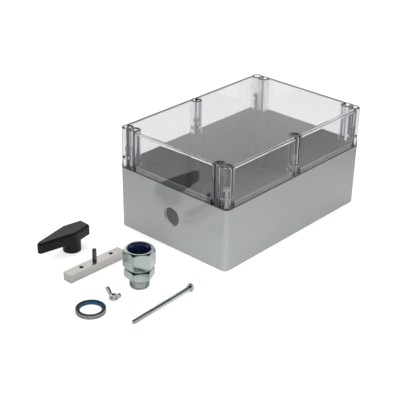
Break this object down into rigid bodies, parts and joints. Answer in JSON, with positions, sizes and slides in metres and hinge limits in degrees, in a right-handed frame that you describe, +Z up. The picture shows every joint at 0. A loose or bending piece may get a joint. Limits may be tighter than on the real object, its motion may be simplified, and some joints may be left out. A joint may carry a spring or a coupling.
{
  "type": "hinged polycarbonate enclosure",
  "caption": "Grey moulded instrument box with a tall clear hinged lid, captive lid screws, a side cable entry and its loose connector, seal, handle and fasteners.",
  "frame": {"origin": "centre of the base's flat underside", "axes": "+Z up through the lid, X along the long side, +Y towards the hinge side, -X out of the cable entry"},
  "size_m": [0.504, 0.2124, 0.153],
  "materials": {
    "moulded_grey": "fine satin moulded finish",
    "clear_polycarbonate": "clear, polished",
    "brass": "machined",
    "seal_rubber": "matt foam rubber",
    "screw_steel": "satin",
    "nylon": "natural nylon",
    "bright_plating": "bright zinc plating",
    "gland_plastic": "smooth blue-black moulding",
    "ring_steel": "satin pressed steel",
    "blue_rubber": "smooth moulded rubber",
    "black_plastic": "fine textured thermoplastic",
    "satin_steel": "satin plated",
    "stud_steel": "turned"
  },
  "bodies": {
    "box": {"base_shell": "moulded_grey", "threaded_inserts": "brass", "hinge_bracket_left": "moulded_grey", "hinge_bracket_right": "moulded_grey", "hinge_pin_left": "screw_steel", "hinge_pin_right": "screw_steel", "hinge_screws": "screw_steel", "connector_body": "bright_plating", "seal_ring_shell": "ring_steel", "seal_ring_rubber": "blue_rubber", "t_handle": "black_plastic", "handle_bush": "brass", "stud_bar": "satin_steel", "bar_stud": "stud_steel", "wing_nut": "bright_plating", "hex_bolt": "bright_plating"},
    "lid": {"lid_cover": "clear_polycarbonate", "lid_gasket": "seal_rubber"},
    "screw_carrier_1": {"screw_washer_1": "nylon"},
    "screw_1": {"lid_screw_1": "nylon"},
    "screw_carrier_2": {"screw_washer_2": "nylon"},
    "screw_2": {"lid_screw_2": "nylon"},
    "screw_carrier_3": {"screw_washer_3": "nylon"},
    "screw_3": {"lid_screw_3": "nylon"},
    "screw_carrier_4": {"screw_washer_4": "nylon"},
    "screw_4": {"lid_screw_4": "nylon"},
    "screw_carrier_5": {"screw_washer_5": "nylon"},
    "screw_5": {"lid_screw_5": "nylon"},
    "screw_carrier_6": {"screw_washer_6": "nylon"},
    "screw_6": {"lid_screw_6": "nylon"},
    "gland": {"gland_ring": "gland_plastic"},
    "nut": {"compression_nut": "bright_plating"}
  },
  "joints": [
    {"name": "lid_hinge", "type": "hinge", "parent": "box", "child": "lid", "pos_m": [0, 0.104, 0.092], "axis": [-1, 0, 0], "range_deg": [0, 180]},
    {"name": "screw_1_travel", "type": "slide", "parent": "lid", "child": "screw_carrier_1", "axis": [0, 0, 1], "range_m": [-0.008, 0]},
    {"name": "screw_1_turn", "type": "hinge", "parent": "screw_carrier_1", "child": "screw_1", "pos_m": [-0.1405, -0.0915, 0.12], "axis": [0, 0, 1], "range_deg": [-3601, 0]},
    {"name": "screw_2_travel", "type": "slide", "parent": "lid", "child": "screw_carrier_2", "axis": [0, 0, 1], "range_m": [-0.008, 0]},
    {"name": "screw_2_turn", "type": "hinge", "parent": "screw_carrier_2", "child": "screw_2", "pos_m": [0, -0.0915, 0.12], "axis": [0, 0, 1], "range_deg": [-3601, 0]},
    {"name": "screw_3_travel", "type": "slide", "parent": "lid", "child": "screw_carrier_3", "axis": [0, 0, 1], "range_m": [-0.008, 0]},
    {"name": "screw_3_turn", "type": "hinge", "parent": "screw_carrier_3", "child": "screw_3", "pos_m": [0.1405, -0.0915, 0.12], "axis": [0, 0, 1], "range_deg": [-3601, 0]},
    {"name": "screw_4_travel", "type": "slide", "parent": "lid", "child": "screw_carrier_4", "axis": [0, 0, 1], "range_m": [-0.008, 0]},
    {"name": "screw_4_turn", "type": "hinge", "parent": "screw_carrier_4", "child": "screw_4", "pos_m": [0.1405, 0.0915, 0.12], "axis": [0, 0, 1], "range_deg": [-3601, 0]},
    {"name": "screw_5_travel", "type": "slide", "parent": "lid", "child": "screw_carrier_5", "axis": [0, 0, 1], "range_m": [-0.008, 0]},
    {"name": "screw_5_turn", "type": "hinge", "parent": "screw_carrier_5", "child": "screw_5", "pos_m": [0, 0.0915, 0.12], "axis": [0, 0, 1], "range_deg": [-3601, 0]},
    {"name": "screw_6_travel", "type": "slide", "parent": "lid", "child": "screw_carrier_6", "axis": [0, 0, 1], "range_m": [-0.008, 0]},
    {"name": "screw_6_turn", "type": "hinge", "parent": "screw_carrier_6", "child": "screw_6", "pos_m": [-0.1405, 0.0915, 0.12], "axis": [0, 0, 1], "range_deg": [-3601, 0]},
    {"name": "gland_travel", "type": "slide", "parent": "box", "child": "gland", "axis": [0, 0, 1], "range_m": [-0.00201, 0.00601]},
    {"name": "nut_turn", "type": "hinge", "parent": "gland", "child": "nut", "pos_m": [-0.25, -0.0395, 0.04], "axis": [0, 0, 1], "range_deg": [-480, 1440]}
  ],
  "couplings": [
    {"joint": "screw_1_turn", "follows": "screw_1_travel", "rad_per_m": 7854},
    {"joint": "screw_2_turn", "follows": "screw_2_travel", "rad_per_m": 7854},
    {"joint": "screw_3_turn", "follows": "screw_3_travel", "rad_per_m": 7854},
    {"joint": "screw_4_turn", "follows": "screw_4_travel", "rad_per_m": 7854},
    {"joint": "screw_5_turn", "follows": "screw_5_travel", "rad_per_m": 7854},
    {"joint": "screw_6_turn", "follows": "screw_6_travel", "rad_per_m": 7854},
    {"joint": "gland_travel", "follows": "nut_turn", "m_per_rad": 0.00023873}
  ]
}
